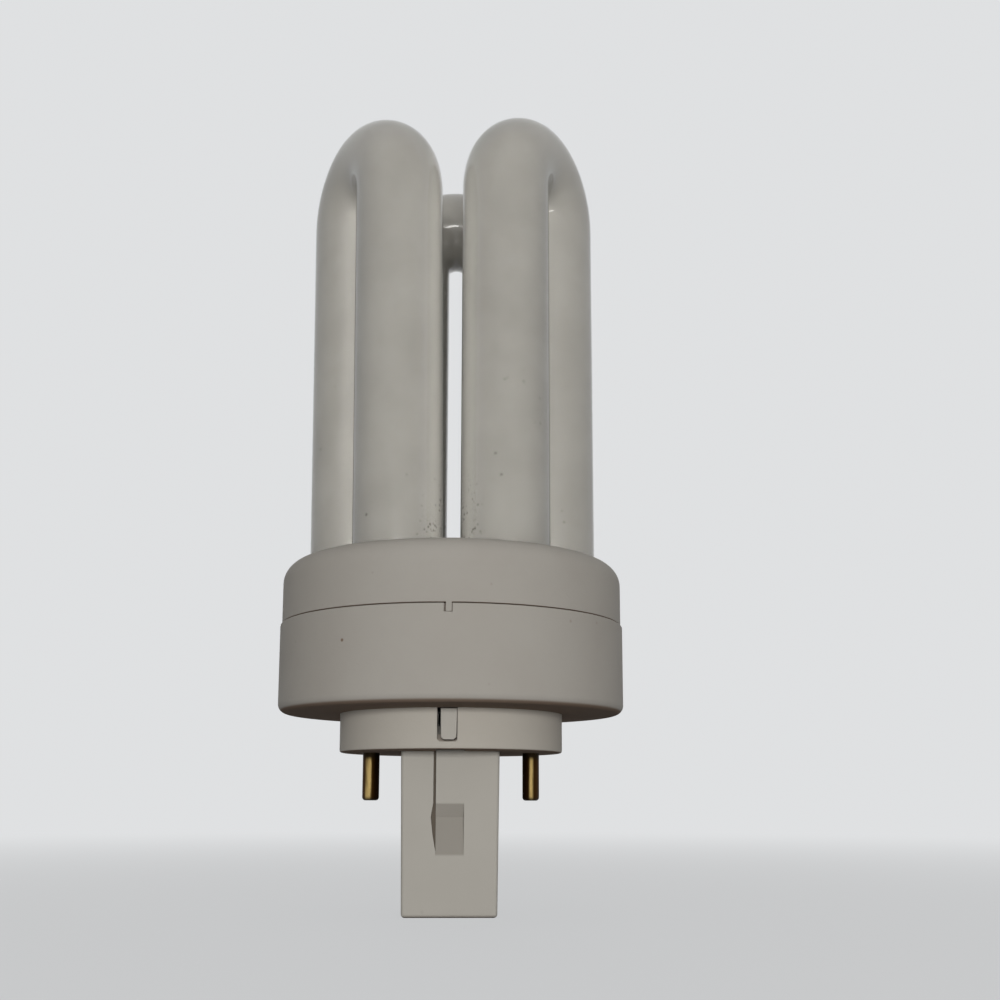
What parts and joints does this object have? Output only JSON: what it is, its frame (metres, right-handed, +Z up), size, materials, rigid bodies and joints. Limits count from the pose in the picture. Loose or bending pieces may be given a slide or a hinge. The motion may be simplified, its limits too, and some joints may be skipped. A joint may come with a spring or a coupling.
{
  "type": "plug-in fluorescent bulb",
  "caption": "Plug-in compact fluorescent bulb: glass U tubes on a round plastic base, with a rectangular plug post and brass contact pins.",
  "frame": {"origin": "centre of the boss's underside, the plane that seats on the lamp holder", "axes": "+Z up the bulb's axis to the tube tops, X through the two contact pins, -Y the front with the two electrode legs"},
  "size_m": [0.0496, 0.0496, 0.1163],
  "materials": {
    "phosphor_glass": "gloss",
    "collar_plastic": "satin",
    "base_plastic": "satin",
    "post_plastic": "satin",
    "pin_brass": "satin",
    "starter_glass": "gloss",
    "capacitor_coat": "gloss",
    "lead_metal": "satin"
  },
  "bodies": {
    "root": {"discharge_tube": "phosphor_glass", "tube_holder": "collar_plastic", "base_housing": "base_plastic", "starter_post": "post_plastic", "contact_pin_left": "pin_brass", "contact_pin_right": "pin_brass", "glow_starter": "starter_glass", "capacitor": "capacitor_coat", "lead_pin_left": "lead_metal", "lead_pin_right": "lead_metal", "lead_starter_left": "lead_metal", "lead_starter_right": "lead_metal"}
  },
  "joints": []
}
